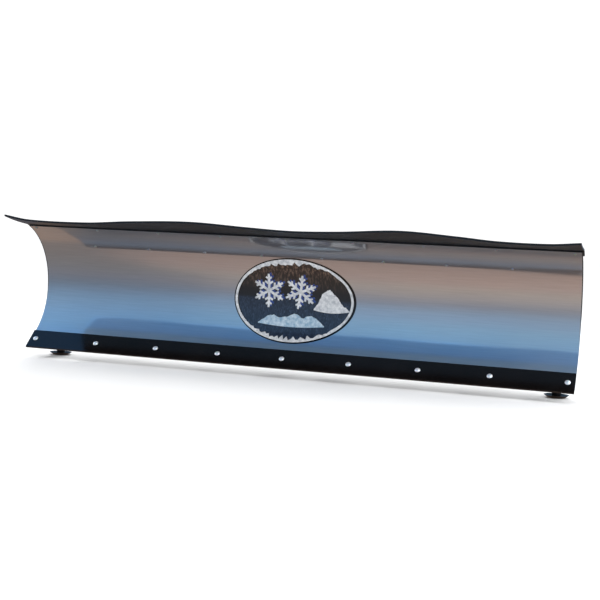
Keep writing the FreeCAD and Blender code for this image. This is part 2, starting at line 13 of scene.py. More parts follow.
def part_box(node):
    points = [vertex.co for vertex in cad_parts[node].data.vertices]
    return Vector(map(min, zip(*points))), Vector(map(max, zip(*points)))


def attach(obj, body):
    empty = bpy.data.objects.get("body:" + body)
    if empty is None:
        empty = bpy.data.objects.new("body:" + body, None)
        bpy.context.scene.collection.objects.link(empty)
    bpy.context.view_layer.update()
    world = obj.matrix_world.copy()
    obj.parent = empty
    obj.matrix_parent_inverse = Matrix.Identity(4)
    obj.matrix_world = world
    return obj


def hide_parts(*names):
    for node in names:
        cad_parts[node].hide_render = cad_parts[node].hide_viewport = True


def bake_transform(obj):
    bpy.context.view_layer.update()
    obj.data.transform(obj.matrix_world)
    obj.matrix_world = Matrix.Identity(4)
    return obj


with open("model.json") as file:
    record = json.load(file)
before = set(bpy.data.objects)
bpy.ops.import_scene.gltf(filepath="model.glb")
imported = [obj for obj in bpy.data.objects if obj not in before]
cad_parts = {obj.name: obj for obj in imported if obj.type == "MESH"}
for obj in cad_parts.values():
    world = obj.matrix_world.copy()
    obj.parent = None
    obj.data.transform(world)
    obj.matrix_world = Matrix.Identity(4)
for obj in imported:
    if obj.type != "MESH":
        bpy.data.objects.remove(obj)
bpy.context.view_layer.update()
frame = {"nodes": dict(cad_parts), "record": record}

# ---- the face's profile, as the CAD has it ----
FACE_RADIUS = 0.216
SHEET = 0.003
TOP_ANGLE = radians(67.7)
SHEET_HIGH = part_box("moldboard")[1]
HALF = SHEET_HIGH.x
ARC_Y = SHEET_HIGH.y - SHEET - FACE_RADIUS
ARC_Z = SHEET_HIGH.z - (FACE_RADIUS + SHEET) * sin(TOP_ANGLE)

# ---- the black paint on the sheet's back ----
PAINT_START = 0.0007  # this far in from the working face
PAINT_FULL = 0.0010
PAINT_LAP = 0.0028  # round the ends
LAP_FADE = 0.0004
LAP_LOW = 0.16  # heights between which the lap fades in
LAP_HIGH = 0.26

# ---- the rubber deflector ----
FLAP_THICKNESS = 0.006
FLAP_LAP = 0.030  # clamped behind the face
FLAP_REACH = 0.152  # free, past the face's top edge
FLAP_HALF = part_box("deflector_lip")[1].x
FLAP_COLUMNS = 260
FLAP_ROWS = 44
CLAMPED_ROWS = 8
FLAP_ROOT_BEND = 0.012  # the length over which the rubber turns off the face's curve
FLAP_CURL = 8.0  # degrees more slope at the free edge than at the root
FLAP_EDGE = 0.0007  # rounding of the rubber's edges
FLAP_RIPPLE = 0.5  # degrees of small unevenness in the slope
# how far the free edge stands above the face's top corner, along the wave: (from the left end, height)
FLAP_WAVE = [
    (0.000, 0.032), (0.095, 0.019), (0.300, 0.018), (0.450, 0.028), (0.655, 0.035), (0.850, 0.026),
    (0.990, 0.021), (1.135, 0.0255), (1.320, 0.0365), (1.495, 0.027), (1.605, 0.019), (1.750, 0.018),
    (1.838, 0.025),
]

# ---- the camera ----
# fitted to the view; angles in degrees
CAMERA_PLACE = (1.1168, -3.3559, 0.4565)
CAMERA_YAW = -17.605
CAMERA_PITCH = 3.314
CAMERA_ROLL = 2.722
CAMERA_LENS = 66.74
SENSOR = 36.0

# ---- the badge ----
BADGE_FILM = 0.0004
PRINT_LIFT = 0.0003  # of the printed shapes, over the film
PRINT_SINK = 0.0001
PRINT_STEP = 0.006
SHADOW_SHIFT = (0.035, 0.03)
RIM_SPANS = 48
# half of a snow crystal's arm: (to the side, outward), as shares of the arm
FLAKE_ARM = [
    (0.075, 0.13), (0.075, 0.36), (0.27, 0.50), (0.22, 0.60), (0.075, 0.52), (0.075, 0.66),
    (0.20, 0.76), (0.16, 0.86), (0.075, 0.80), (0.055, 1.0),
]
BANK_HEIGHTS = [0.02, 0.16, 0.38, 0.46, 0.50, 0.40, 0.30, 0.16, 0.10, 0.02]
DRIFT_HEIGHTS = [0.03, 0.16, 0.22, 0.15, 0.20, 0.27, 0.17, 0.24, 0.16, 0.03]
CREST_STEPS = 5  # between two of those heights
FOOT_STEPS = 12

# ---- the frame's welds ----
STITCHES = (-30.0, -6.0, 14.0, 52.0)  # where each stitch between a rib and the sheet begins, in degrees
STITCH_LENGTH = 5.5
LUG_WELD = (36.5, 44.0)
RAIL = 0.0052  # how far behind the sheet the lugs' welds lie
TUBE_CORNER = 0.002
RIB_BEAD = 0.0024
TUBE_BEAD = 0.0026
EAR_BEAD = 0.0028
LUG_BEAD = 0.0022
BEAD_STEP = 0.0016
BEAD_SIDES = 8


def face_point(x, angle, behind=0.0):
    """A point on the curled face, `behind` its front surface. The angle is above the arc's centre."""
    radius = FACE_RADIUS + behind
    return Vector((x, ARC_Y + radius * cos(angle), ARC_Z + radius * sin(angle)))


def on_face(x, z, behind=0.0):
    """The point of the curled face at a height."""
    radius = FACE_RADIUS + behind
    return Vector((x, ARC_Y + sqrt(radius**2 - (z - ARC_Z) ** 2), z))


# ---- mesh helpers ----
def new_object(name, vertices, faces, material, smooth=True):
    mesh = bpy.data.meshes.new(name)
    mesh.from_pydata([tuple(v) for v in vertices], [], faces)
    mesh.validate()
    mesh.update()
    mesh.polygons.foreach_set("use_smooth", [smooth] * len(mesh.polygons))
    piece = bpy.data.objects.new(name, mesh)
    bpy.context.scene.collection.objects.link(piece)
    piece.data.materials.append(material)
    return piece


def object_from(mesh, name, material):
    """An object made of a mesh that was built with bmesh."""
    data = bpy.data.meshes.new(name)
    mesh.to_mesh(data)
    mesh.free()
    data.materials.append(material)
    piece = bpy.data.objects.new(name, data)
    bpy.context.scene.collection.objects.link(piece)
    return piece


def ring_grid(rings):
    """Vertices and faces of a closed tube made of equal rings of points."""
    count = len(rings[0])
    vertices = [v for ring in rings for v in ring]
    faces = []
    for i in range(len(rings) - 1):
        for j in range(count):
            k = (j + 1) % count
            faces.append((i * count + j, i * count + k, (i + 1) * count + k, (i + 1) * count + j))
    faces.append(tuple(reversed(range(count))))
    last = (len(rings) - 1) * count
    faces.append(tuple(range(last, last + count)))
    return vertices, faces


# ---- material helpers ----
def srgb(red, green, blue):
    """A colour given in 8-bit sRGB, as the linear values that nodes take."""
    def linear(value):
        value = value / 255
        return value / 12.92 if value <= 0.04045 else ((value + 0.055) / 1.055) ** 2.4
    return (linear(red), linear(green), linear(blue), 1.0)


class Nodes:
    """Short calls for adding nodes to a tree."""

    def __init__(self, tree, coords):
        self.tree = tree
        self.coords = self.tree.nodes.new("ShaderNodeTexCoord").outputs[coords]

    def mapped(self, scale):
        node = self.tree.nodes.new("ShaderNodeMapping")
        node.inputs["Scale"].default_value = scale
        self.tree.links.new(self.coords, node.inputs["Vector"])
        return node.outputs["Vector"]

    def noise(self, scale, detail=4.0, roughness=0.5, stretch=(1, 1, 1), distortion=0.0):
        node = self.tree.nodes.new("ShaderNodeTexNoise")
        node.inputs["Scale"].default_value = scale
        node.inputs["Detail"].default_value = detail
        node.inputs["Roughness"].default_value = roughness
        node.inputs["Distortion"].default_value = distortion
        self.tree.links.new(self.mapped(stretch), node.inputs["Vector"])
        return node.outputs["Fac"]

    def cells(self, scale):
        """A flat random colour in each cell of a Voronoi pattern."""
        node = self.tree.nodes.new("ShaderNodeTexVoronoi")
        node.inputs["Scale"].default_value = scale
        self.tree.links.new(self.coords, node.inputs["Vector"])
        return node.outputs["Color"]

    def ramp(self, source, *stops):
        """Maps 0 to 1 onto colours, or onto plain values, at the stops given."""
        node = self.tree.nodes.new("ShaderNodeValToRGB")
        elements = node.color_ramp.elements
        while len(elements) < len(stops):
            elements.new(0.5)
        for element, (place, value) in zip(elements, stops):
            element.position = place
            element.color = value if isinstance(value, tuple) else (value, value, value, 1.0)
        self.tree.links.new(source, node.inputs["Fac"])
        return node.outputs["Color"]

    def mix(self, factor, first, second):
        """Blends two colours, each given as a value or as a node's output."""
        node = self.tree.nodes.new("ShaderNodeMix")
        node.data_type = "RGBA"
        for socket, value in (("Factor", factor), ("A", first), ("B", second)):
            target = next(i for i in node.inputs if i.name == socket and i.type in ("RGBA", "VALUE")
                          and (socket == "Factor" or i.type == "RGBA"))
            if isinstance(value, (tuple, float)):
                target.default_value = value
            else:
                self.tree.links.new(value, target)
        return next(o for o in node.outputs if o.type == "RGBA")

    def maths(self, operation, first, second=0.0):
        node = self.tree.nodes.new("ShaderNodeMath")
        node.operation = operation
        for target, value in zip(node.inputs, (first, second)):
            if isinstance(value, (int, float)):
                target.default_value = value
            else:
                self.tree.links.new(value, target)
        return node.outputs["Value"]

    def axis(self, name):
        """One of the object's own coordinates, in metres."""
        node = self.tree.nodes.new("ShaderNodeSeparateXYZ")
        self.tree.links.new(self.coords, node.inputs["Vector"])
        return node.outputs[name]

    def smooth(self, source, low, high):
        """0 below `low`, 1 above `high`, and a smooth rise between them."""
        node = self.tree.nodes.new("ShaderNodeMapRange")
        node.interpolation_type = "SMOOTHSTEP"
        node.inputs["From Min"].default_value = low
        node.inputs["From Max"].default_value = high
        self.tree.links.new(source, node.inputs["Value"])
        return node.outputs["Result"]


class Shader(Nodes):
    """A material with one Principled shader."""

    def __init__(self, name, **values):
        self.material = bpy.data.materials.new(name)
        self.material.use_nodes = True
        super().__init__(self.material.node_tree, "Object")
        self.bsdf = self.tree.nodes["Principled BSDF"]
        for key, value in values.items():
            self.bsdf.inputs[key.replace("_", " ")].default_value = value

    def link(self, output, target):
        self.tree.links.new(output, self.bsdf.inputs[target])

    def rounded(self, radius):
        """A normal that's smoothed over sharp edges, and how near an edge the point lies, 0 to 1."""
        node = self.tree.nodes.new("ShaderNodeBevel")
        node.samples = 4
        node.inputs["Radius"].default_value = radius
        dot = self.tree.nodes.new("ShaderNodeVectorMath")
        dot.operation = "DOT_PRODUCT"
        self.tree.links.new(node.outputs["Normal"], dot.inputs[0])
        flat = self.tree.nodes.new("ShaderNodeNewGeometry").outputs["Normal"]
        self.tree.links.new(flat, dot.inputs[1])
        return node.outputs["Normal"], self.smooth(dot.outputs["Value"], 0.995, 0.90)

    def bump(self, height, distance, under=None):
        """Adds a bump of a real depth, in metres. Returns its normal, for another bump over it."""
        node = self.tree.nodes.new("ShaderNodeBump")
        node.inputs["Distance"].default_value = distance
        self.tree.links.new(height, node.inputs["Height"])
        if under is not None:
            self.tree.links.new(under, node.inputs["Normal"])
        self.link(node.outputs["Normal"], "Normal")
        return node.outputs["Normal"]


# ---- materials ----
def painted_part(s):
    """1 where the face sheet is painted: all behind its working face, and a lap round its upper ends."""
    across = s.maths("SUBTRACT", s.axis("Y"), ARC_Y)
    up = s.maths("SUBTRACT", s.axis("Z"), ARC_Z)
    square = s.maths("ADD", s.maths("MULTIPLY", across, across), s.maths("MULTIPLY", up, up))
    depth = s.maths("SUBTRACT", s.maths("SQRT", square), FACE_RADIUS)
    back = s.smooth(depth, PAINT_START, PAINT_FULL)
    to_end = s.maths("SUBTRACT", HALF, s.maths("ABSOLUTE", s.axis("X")))
    upper = s.smooth(s.axis("Z"), LAP_LOW, LAP_HIGH)
    lap = s.maths("MULTIPLY", s.smooth(to_end, PAINT_LAP + LAP_FADE, PAINT_LAP), upper)
    return s.maths("MAXIMUM", back, lap)


def face_steel():
    """Bright rolled sheet under a clear coat: a mirror with a soft haze, with mill streaks along it and
    faint handling marks. Its back is painted black, like the frame."""
    s = Shader("face_steel", Coat_Weight=1.0, Coat_IOR=4.0)
    streaks = s.noise(26.0, 5.0, 0.6, stretch=(0.35, 9.0, 9.0))
    cloud = s.noise(2.2, 3.0, 0.55)
    cloudy = s.ramp(cloud, (0.3, (0.44, 0.44, 0.45, 1)), (0.7, (0.51, 0.505, 0.50, 1)))
    streaky = s.ramp(streaks, (0.35, (0.42, 0.42, 0.425, 1)), (0.65, (0.53, 0.53, 0.535, 1)))
    paint = s.ramp(cloud, (0.35, (0.010, 0.010, 0.011, 1)), (0.7, (0.018, 0.018, 0.019, 1)))
    painted_share = painted_part(s)
    bare_share = s.maths("SUBTRACT", 1.0, painted_share)
    s.link(s.mix(painted_share, s.mix(0.35, cloudy, streaky), paint), "Base Color")
    s.link(bare_share, "Metallic")
    s.link(bare_share, "Coat Weight")
    rub = s.noise(7.0, 6.0, 0.7, stretch=(0.6, 2.0, 2.0))
    s.link(s.ramp(rub, (0.3, 0.42), (0.75, 0.54)), "Roughness")
    s.link(s.ramp(rub, (0.3, 0.09), (0.75, 0.15)), "Coat Roughness")
    under = s.bump(s.noise(3.1, 1.0, 0.4, stretch=(1.0, 1.6, 1.6)), 0.0012)
    grain = s.bump(s.noise(260.0, 3.0, 0.6, stretch=(0.25, 1.0, 1.0)), 0.000006, under=under)
    s.link(grain, "Coat Normal")
    return s.material


def painted(name, dark, light, rough, grain, depth, shine=0.5):
    """Black paint over metal, with orange peel, slight clouding, dust, and edges rubbed grey in places."""
    s = Shader(name, Metallic=0.0, Specular_IOR_Level=shine)
    cloud = s.noise(9.0, 4.0, 0.6)
    dust = s.noise(34.0, 6.0, 0.65)
    normal, edge = s.rounded(0.0009)
    rubbed = s.maths("MULTIPLY", edge, s.ramp(s.noise(60.0, 5.0, 0.7), (0.50, 0.0), (0.62, 0.5)))
    paint = s.ramp(cloud, (0.35, dark), (0.7, light))
    s.link(s.mix(rubbed, paint, (0.10, 0.10, 0.10, 1)), "Base Color")
    s.link(s.ramp(dust, (0.3, rough[0]), (0.75, rough[1])), "Roughness")
    s.bump(s.noise(grain, 2.0, 0.5), depth, under=normal)
    return s.material


def zinc_with_painted_light(name, dark, light, metallic):
    """Zinc plate: a cloudy lustre with fine crystal blotches. The less metallic, the milkier. A near-white,
    less metallic copy is painted highlight that whitens the bolt heads; a darker copy is painted shade.
    """
    s = Shader(name, Metallic=metallic)
    spangle = s.cells(420.0)
    cloud = s.noise(150.0, 4.0, 0.6)
    s.link(s.mix(0.25, s.ramp(cloud, (0.3, dark), (0.7, light)), spangle), "Base Color")
    s.link(s.ramp(cloud, (0.3, 0.26), (0.7, 0.42)), "Roughness")
    s.bump(cloud, 0.00004, under=s.rounded(0.0006)[0])
    return s.material


def rubber():
    """Sheet rubber: matt black with a calendered grain, dust in the grain and a few scuffs."""
    s = Shader("deflector_rubber", Metallic=0.0, Specular_IOR_Level=0.35)
    cloud = s.noise(5.0, 5.0, 0.6, stretch=(0.5, 1.5, 1.5))
    dust = s.noise(120.0, 4.0, 0.7)
    base = s.ramp(cloud, (0.3, (0.0040, 0.0034, 0.0035, 1)), (0.72, (0.0066, 0.0059, 0.0060, 1)))
    s.link(s.mix(s.ramp(dust, (0.52, 0.0), (0.8, 0.16)), base, (0.04, 0.038, 0.037, 1)), "Base Color")
    s.link(s.ramp(cloud, (0.3, 0.28), (0.7, 0.38)), "Roughness")
    under = s.bump(s.noise(14.0, 2.0, 0.5), 0.0012)
    s.bump(s.noise(900.0, 2.0, 0.5), 0.00006, under=under)
    return s.material


def cap_plastic():
    """Moulded black plastic with a fine spark texture."""
    s = Shader("cap_plastic", Metallic=0.0)
    grain = s.noise(700.0, 3.0, 0.6)
    s.link(s.ramp(grain, (0.3, (0.014, 0.014, 0.015, 1)), (0.7, (0.026, 0.026, 0.027, 1))), "Base Color")
    s.link(s.ramp(grain, (0.3, 0.45), (0.7, 0.6)), "Roughness")
    s.bump(grain, 0.00005)
    return s.material


def weld_metal():
    """Painted-over weld: the frame's paint, on a rippled bead."""
    s = Shader("weld_paint", Metallic=0.0, Coat_Weight=0.15)
    grit = s.noise(500.0, 4.0, 0.7)
    s.link(s.ramp(grit, (0.3, (0.012, 0.012, 0.013, 1)), (0.7, (0.03, 0.029, 0.028, 1))), "Base Color")
    s.link(s.ramp(grit, (0.3, 0.32), (0.7, 0.5)), "Roughness")
    s.bump(grit, 0.0002)
    return s.material


def badge_film():
    """Printed film under a clear coat: hanging brown streaks over night blue with a slanting weave."""
    s = Shader("badge_film", Metallic=0.0, Coat_Weight=0.5, Coat_Roughness=0.08, Roughness=0.4)
    low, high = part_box("badge")
    height = s.maths("DIVIDE", s.maths("SUBTRACT", s.axis("Z"), low.z), high.z - low.z)
    streaks = s.noise(150.0, 3.0, 0.6, stretch=(1.0, 1.0, 0.10))
    hatch = s.noise(190.0, 2.0, 0.6, stretch=(1.0, 0.25, 0.25), distortion=2.5)
    level = s.maths("ADD", height, s.maths("MULTIPLY", s.maths("SUBTRACT", streaks, 0.5), 0.10))
    brown = s.mix(s.ramp(streaks, (0.48, 0.0), (0.70, 1.0)), srgb(34, 23, 18), srgb(122, 98, 82))
    blue = s.mix(s.ramp(hatch, (0.47, 0.0), (0.75, 1.0)), srgb(17, 27, 46), srgb(56, 74, 100))
    upper = s.mix(s.ramp(level, (0.62, 0.0), (0.90, 1.0)), srgb(20, 18, 20), brown)
    s.link(s.mix(s.ramp(height, (0.50, 0.0), (0.53, 1.0)), blue, upper), "Base Color")
    s.bump(s.noise(60.0, 2.0, 0.5), 0.0001)
    return s.material


def ink(name, colour, second):
    """Glossy ink, blotched from one colour to a second."""
    s = Shader(name, Metallic=0.0, Coat_Weight=0.8, Coat_Roughness=0.08)
    grain = s.noise(85.0, 5.0, 0.65)
    s.link(s.ramp(grain, (0.35, colour), (0.7, second)), "Base Color")
    s.link(s.ramp(grain, (0.3, 0.3), (0.7, 0.45)), "Roughness")
    return s.material


STEEL = face_steel()
EDGE_PAINT = painted("edge_paint", (0.0034, 0.0027, 0.0027, 1), (0.0056, 0.0045, 0.0045, 1),
                     (0.08, 0.16), 420.0, 0.00003, shine=0.45)
FRAME_PAINT = painted("frame_paint", (0.010, 0.010, 0.011, 1), (0.018, 0.018, 0.019, 1),
                      (0.30, 0.46), 520.0, 0.00012)
SHOE_PAINT = painted("shoe_paint", (0.004, 0.004, 0.005, 1), (0.008, 0.0075, 0.0075, 1),
                     (0.28, 0.42), 300.0, 0.00008, shine=0.12)
# zinc whitened by a near-white colour and low metallic: painted highlight standing in for the bolt heads'
# white glint
ZINC_PAINTED_HIGHLIGHT = zinc_with_painted_light("zinc_with_painted_light", (0.80, 0.82, 0.85, 1), (0.95, 0.95, 0.94, 1), 0.6)
# the same zinc darkened: painted shade that keeps the face's small bolts faint
ZINC_PAINTED_SHADE = zinc_with_painted_light("zinc_painted_shade", (0.34, 0.34, 0.34, 1), (0.46, 0.46, 0.45, 1), 0.9)
RUBBER = rubber()
CAP = cap_plastic()
WELD = weld_metal()
BADGE = badge_film()
WHITE_INK = ink("badge_white", srgb(176, 182, 190), srgb(238, 240, 242))
ICE_INK = ink("badge_ice", srgb(128, 164, 192), srgb(208, 224, 234))
BLUE_INK = ink("badge_blue", srgb(24, 52, 120), srgb(36, 70, 144))

SLOT_MATERIALS = {
    "face_steel": STEEL,
    "edge_paint": EDGE_PAINT,
    "frame_paint": FRAME_PAINT,
    "shoe_paint": SHOE_PAINT,
    "zinc": ZINC_PAINTED_HIGHLIGHT,
    "deflector_rubber": RUBBER,
    "badge_film": BADGE,
    "cap_plastic": CAP,
}


def finish_cad_nodes():
    """Gives every CAD node the material of its slot. The small bolts on the face get the darkened zinc,
    painted shade that keeps them faint; the rest of the zinc slot gets the whitened copy, painted
    highlight.
    """
    for part in frame["record"]["subparts"]:
        node = part["node"]
        # the face's small bolts take the zinc with painted shade
        shaded = node in ("face_bolts", "deflector_bolts")
        mesh = frame["nodes"][node].data
        mesh.materials.clear()
        mesh.materials.append(ZINC_PAINTED_SHADE if shaded else SLOT_MATERIALS[part["material_slot"]])


# ---- the rubber deflector: one wavy sheet ----
def wave_height(x):
    """How high the lip's free edge stands at a station, on a smooth curve through the wave's points."""
    along = min(max(x + FLAP_HALF, FLAP_WAVE[0][0]), FLAP_WAVE[-1][0])
    last = len(FLAP_WAVE) - 1
    i = next(k for k in range(last) if along <= FLAP_WAVE[k + 1][0])
    (x0, h0), (x1, h1) = FLAP_WAVE[i], FLAP_WAVE[i + 1]

    def slope(k):
        (xa, ha), (xb, hb) = FLAP_WAVE[max(k - 1, 0)], FLAP_WAVE[min(k + 1, last)]
        return (hb - ha) / (xb - xa)
    span = x1 - x0
    t = (along - x0) / span
    return (h0 * (1 + 2 * t) * (1 - t) ** 2 + slope(i) * span * t * (1 - t) ** 2
            + h1 * (3 - 2 * t) * t**2 + slope(i + 1) * span * (t - 1) * t**2)


def lip_line(x, mean):
    """The lip's underside from the hinge out, as (point, up) pairs, for a mean slope in degrees."""
    root = 90 - degrees(TOP_ANGLE)
    steps = FLAP_ROWS - CLAMPED_ROWS
    point = face_point(x, TOP_ANGLE, SHEET)
    line = []
    for i in range(steps + 1):
        along = i / steps
        turn = min(along * FLAP_REACH / FLAP_ROOT_BEND, 1.0)
        turn = turn * turn * (3 - 2 * turn)
        ripple = FLAP_RIPPLE * noise.noise((x * 6, along * 2, 3.0))
        angle = radians(root + (mean + FLAP_CURL * (along - 0.5) + ripple - root) * turn)
        line.append((point.copy(), Vector((0, sin(angle), cos(angle)))))
        point += Vector((0, -cos(angle), sin(angle))) * (FLAP_REACH / steps)
    return line


def flap_line(x):
    """The rubber's underside at one station, from the clamped edge to the free edge."""
    line = []
    for i in range(CLAMPED_ROWS):
        angle = TOP_ANGLE - FLAP_LAP * (1 - i / CLAMPED_ROWS) / (FACE_RADIUS + SHEET)
        line.append((face_point(x, angle, SHEET), Vector((0, cos(angle), sin(angle)))))
    rise = wave_height(x) - FLAP_THICKNESS
    hinge_z = face_point(x, TOP_ANGLE, SHEET).z
    mean = degrees(rise / FLAP_REACH)
    for _ in range(3):
        reached = lip_line(x, mean)[-1][0].z - hinge_z
        mean += degrees((rise - reached) / FLAP_REACH)
    return line + lip_line(x, mean)


def make_deflector():
    rings = []
    for i in range(FLAP_COLUMNS + 1):
        x = -FLAP_HALF + 2 * FLAP_HALF * i / FLAP_COLUMNS
        line = flap_line(x)
        under = [point for point, up in line]
        over = [point + up * FLAP_THICKNESS for point, up in line]
        rings.append(under + list(reversed(over)))
    vertices, faces = ring_grid(rings)
    sheet = new_object("deflector_sheet", vertices, faces, RUBBER)
    soften_edges(sheet, FLAP_EDGE)
    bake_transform(sheet)
    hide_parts("deflector_edge", "deflector_lip")


def soften_edges(piece, width):
    bevel = piece.modifiers.new("edges", "BEVEL")
    bevel.width = width
    bevel.segments = 2
    bevel.limit_method = "ANGLE"
    bevel.angle_limit = radians(40)
    bevel.harden_normals = True


# ---- the badge: an icy rim, snow crystals and a drift, printed on the oval film ----
def badge_frame():
    low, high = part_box("badge")
    return (low + high) / 2, (high.x - low.x) / 2, (high.z - low.z) / 2


def flat_shapes(outlines):
    """Each outline as flat triangles in the plane y = 0, with level cuts that let them follow a curl."""
    centre, half_width, half_height = badge_frame()
    mesh = bmesh.new()
    for points in outlines:
        corners = [(centre.x + u * half_width, 0, centre.z + v * half_height) for u, v in points]
        mesh.faces.new([mesh.verts.new(corner) for corner in corners])
    mesh.normal_update()
    bmesh.ops.triangulate(mesh, faces=mesh.faces[:])
    for i in range(1, int(2 * half_height / PRINT_STEP)):
        level = Vector((0, 0, centre.z - half_height + i * PRINT_STEP))
        everything = mesh.verts[:] + mesh.edges[:] + mesh.faces[:]
        bmesh.ops.bisect_plane(mesh, geom=everything, plane_co=level, plane_no=(0, 0, 1))
    return mesh


def badge_print(name, outlines, material, lift=PRINT_LIFT):
    """Flat shapes printed on the film. Each outline is a loop of points round the badge's middle, as
    shares of its half width and half height."""
    mesh = flat_shapes(outlines)
    raised = bmesh.ops.extrude_face_region(mesh, geom=mesh.faces[:])["geom"]
    tops = {element for element in raised if isinstance(element, bmesh.types.BMVert)}
    for corner in mesh.verts:
        over_film = lift if corner in tops else -PRINT_SINK
        corner.co = on_face(corner.co.x, corner.co.z, -BADGE_FILM - over_film)
    bmesh.ops.recalc_face_normals(mesh, faces=mesh.faces[:])
    piece = object_from(mesh, name, material)
    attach(piece, "blade")


def rim_outlines(inner, outer, teeth, seed, shift=0.0):
    """A ring round the oval, in short pieces. Its inner side is ragged at the top and the bottom."""
    rng = random.Random(seed)
    bites = [teeth * rng.random() for _ in range(RIM_SPANS * 3)]
    pieces = []
    for i in range(RIM_SPANS):
        angles = [2 * pi * (i + k / 3) / RIM_SPANS for k in range(4)]
        ragged = [inner - bites[(3 * i + k) % len(bites)] * sin(a) ** 4 for k, a in enumerate(angles)]
        near = [(r * cos(a) + shift, r * sin(a)) for r, a in zip(ragged, angles)]
        far = [(outer * cos(a) + shift, outer * sin(a)) for a in angles]
        pieces.append(near + far[::-1])
    return pieces


def flake_outline(u, v, size, turn=0.0):
    """A six-armed snow crystal as one closed outline, `size` high as a share of the half height."""
    _, half_width, half_height = badge_frame()
    stretch = half_height / half_width
    both_sides = [(-side, out) for side, out in FLAKE_ARM[1:]] + FLAKE_ARM[::-1]
    points = []
    for i in range(6):
        a = radians(60 * i + turn)
        for side, out in both_sides:
            x = out * sin(a) + side * cos(a)
            z = out * cos(a) - side * sin(a)
            points.append((u + x * size * stretch, v + z * size))
    return points


def drift_outline(left, right, base, heights, seed):
    """A bank of snow: a gently bowed foot and a rugged crest through the heights given."""
    rng = random.Random(seed)
    width = right - left
    steps = CREST_STEPS * (len(heights) - 1)
    crest = []
    for i in range(steps + 1):
        at = i / CREST_STEPS
        k = min(int(at), len(heights) - 2)
        level = heights[k] + (heights[k + 1] - heights[k]) * (at - k)
        crest.append((left + width * i / steps, base + level + 0.03 * (rng.random() - 0.5)))
    shares = [i / FOOT_STEPS for i in range(FOOT_STEPS + 1)]
    foot = [(left + width * share, base - 0.05 * sin(pi * share)) for share in shares]
    return crest + foot[::-1]


def make_badge():
    badge_print("badge_edge", rim_outlines(0.925, 0.998, 0.0, 1), EDGE_PAINT, PRINT_LIFT * 0.5)
    badge_print("badge_rim", rim_outlines(0.930, 0.970, 0.115, 2, shift=-0.012), WHITE_INK)
    flakes = [flake_outline(-0.42, 0.20, 0.40), flake_outline(0.10, 0.20, 0.40, 8.0)]
    right, up = SHADOW_SHIFT
    shadows = [[(u + right, v + up) for u, v in flake] for flake in flakes]
    badge_print("badge_shadows", shadows, BLUE_INK, PRINT_LIFT * 0.6)
    badge_print("badge_flakes", flakes, WHITE_INK)
    bank = drift_outline(0.32, 0.90, -0.20, BANK_HEIGHTS, 3)
    badge_print("badge_bank", [bank], WHITE_INK)
    drift = drift_outline(-0.56, 0.52, -0.58, DRIFT_HEIGHTS, 4)
    badge_print("badge_drift", [drift], ICE_INK)


# ---- weld beads ----
def bead(mesh, start, end, radius):
    """A rippled bead between two points, added to a mesh in the making."""
    axis = end - start
    steps = max(6, int(axis.length / BEAD_STEP))
    turn = axis.to_track_quat("Z", "Y")
    around = [2 * pi * k / BEAD_SIDES for k in range(BEAD_SIDES)]
    rings = []
    for i in range(steps + 1):
        t = i / steps
        taper = max(min(1.0, 6 * t, 6 * (1 - t)) ** 0.5, 0.15)
        ripple = 0.10 * sin(i * 2.1) + 0.10 * noise.noise(start * 90 + axis * t * 40)
        size = radius * taper * (1 + ripple)
        centre = start + axis * t
        corners = [centre + turn @ Vector((size * cos(a), size * sin(a), 0)) for a in around]
        rings.append([mesh.verts.new(corner) for corner in corners])
    for near, far in zip(rings, rings[1:]):
        for k in range(BEAD_SIDES):
            after = (k + 1) % BEAD_SIDES
            mesh.faces.new((near[k], near[after], far[after], far[k]))
    mesh.faces.new(rings[0][::-1])
    mesh.faces.new(rings[-1])


def behind_face(x, angle_deg, behind=0.0):
    """A point behind the face sheet."""
    return face_point(x, radians(angle_deg), SHEET + behind)


def tube_welds(x, radius):
    """The welds between the cross tube and one side of a plate, round three sides of the tube."""
    low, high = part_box("cross_tube")
    lines = []
    for z in (low.z, high.z):
        lines.append((Vector((x, low.y + TUBE_CORNER, z)), Vector((x, high.y, z)), radius))
    lines.append((Vector((x, high.y, low.z)), Vector((x, high.y, high.z)), radius))
    return lines


def plate_sides(node):
    """The two sides of a plate that stands across the blade."""
    low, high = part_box(node)
    return (low.x, high.x)


def weld_lines():
    """Every weld of the frame, as (start, end, radius)."""
    lines = []
    for number in range(1, 9):
        for x in plate_sides("rib_%d" % number):
            for angle in STITCHES:
                lines.append((behind_face(x, angle), behind_face(x, angle + STITCH_LENGTH), RIB_BEAD))
            lines += tube_welds(x, TUBE_BEAD)
    for side in ("left", "right"):
        for x in plate_sides(side + "_pivot_ear"):
            lines += tube_welds(x, EAR_BEAD)
        for x in plate_sides(side + "_spring_lug"):
            first, last = (behind_face(x, angle, RAIL) for angle in LUG_WELD)
            lines.append((first, last, LUG_BEAD))
    return lines


def make_welds():
    mesh = bmesh.new()
    for start, end, radius in weld_lines():
        bead(mesh, start, end, radius)
    piece = object_from(mesh, "frame_welds", WELD)
    piece.data.polygons.foreach_set("use_smooth", [True] * len(piece.data.polygons))
    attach(piece, "blade")


finish_cad_nodes()
make_deflector()
make_badge()
make_welds()


# ---- the studio ----
FLOOR = 40.0
LAMP_BLUE = (0.08, 0.39, 1.0)
LIGHT_TARGET = (0, 0, 0.2)
PALE_GAIN = 1.8
AHEAD_LOSS = 0.16
ROOM_LIGHT = 1.12


def make_floor():
    corners = [(-FLOOR, -FLOOR, 0), (FLOOR, -FLOOR, 0), (FLOOR, FLOOR, 0), (-FLOOR, FLOOR, 0)]
    floor = new_object("floor", corners, [(0, 1, 2, 3)], floor_material(), smooth=False)
    floor.visible_glossy = False


def floor_material():
    s = Shader("studio_floor", Roughness=0.9)
    s.link(s.ramp(s.noise(3.0, 3.0), (0.3, 0.93), (0.7, 0.95)), "Base Color")
    return s.material


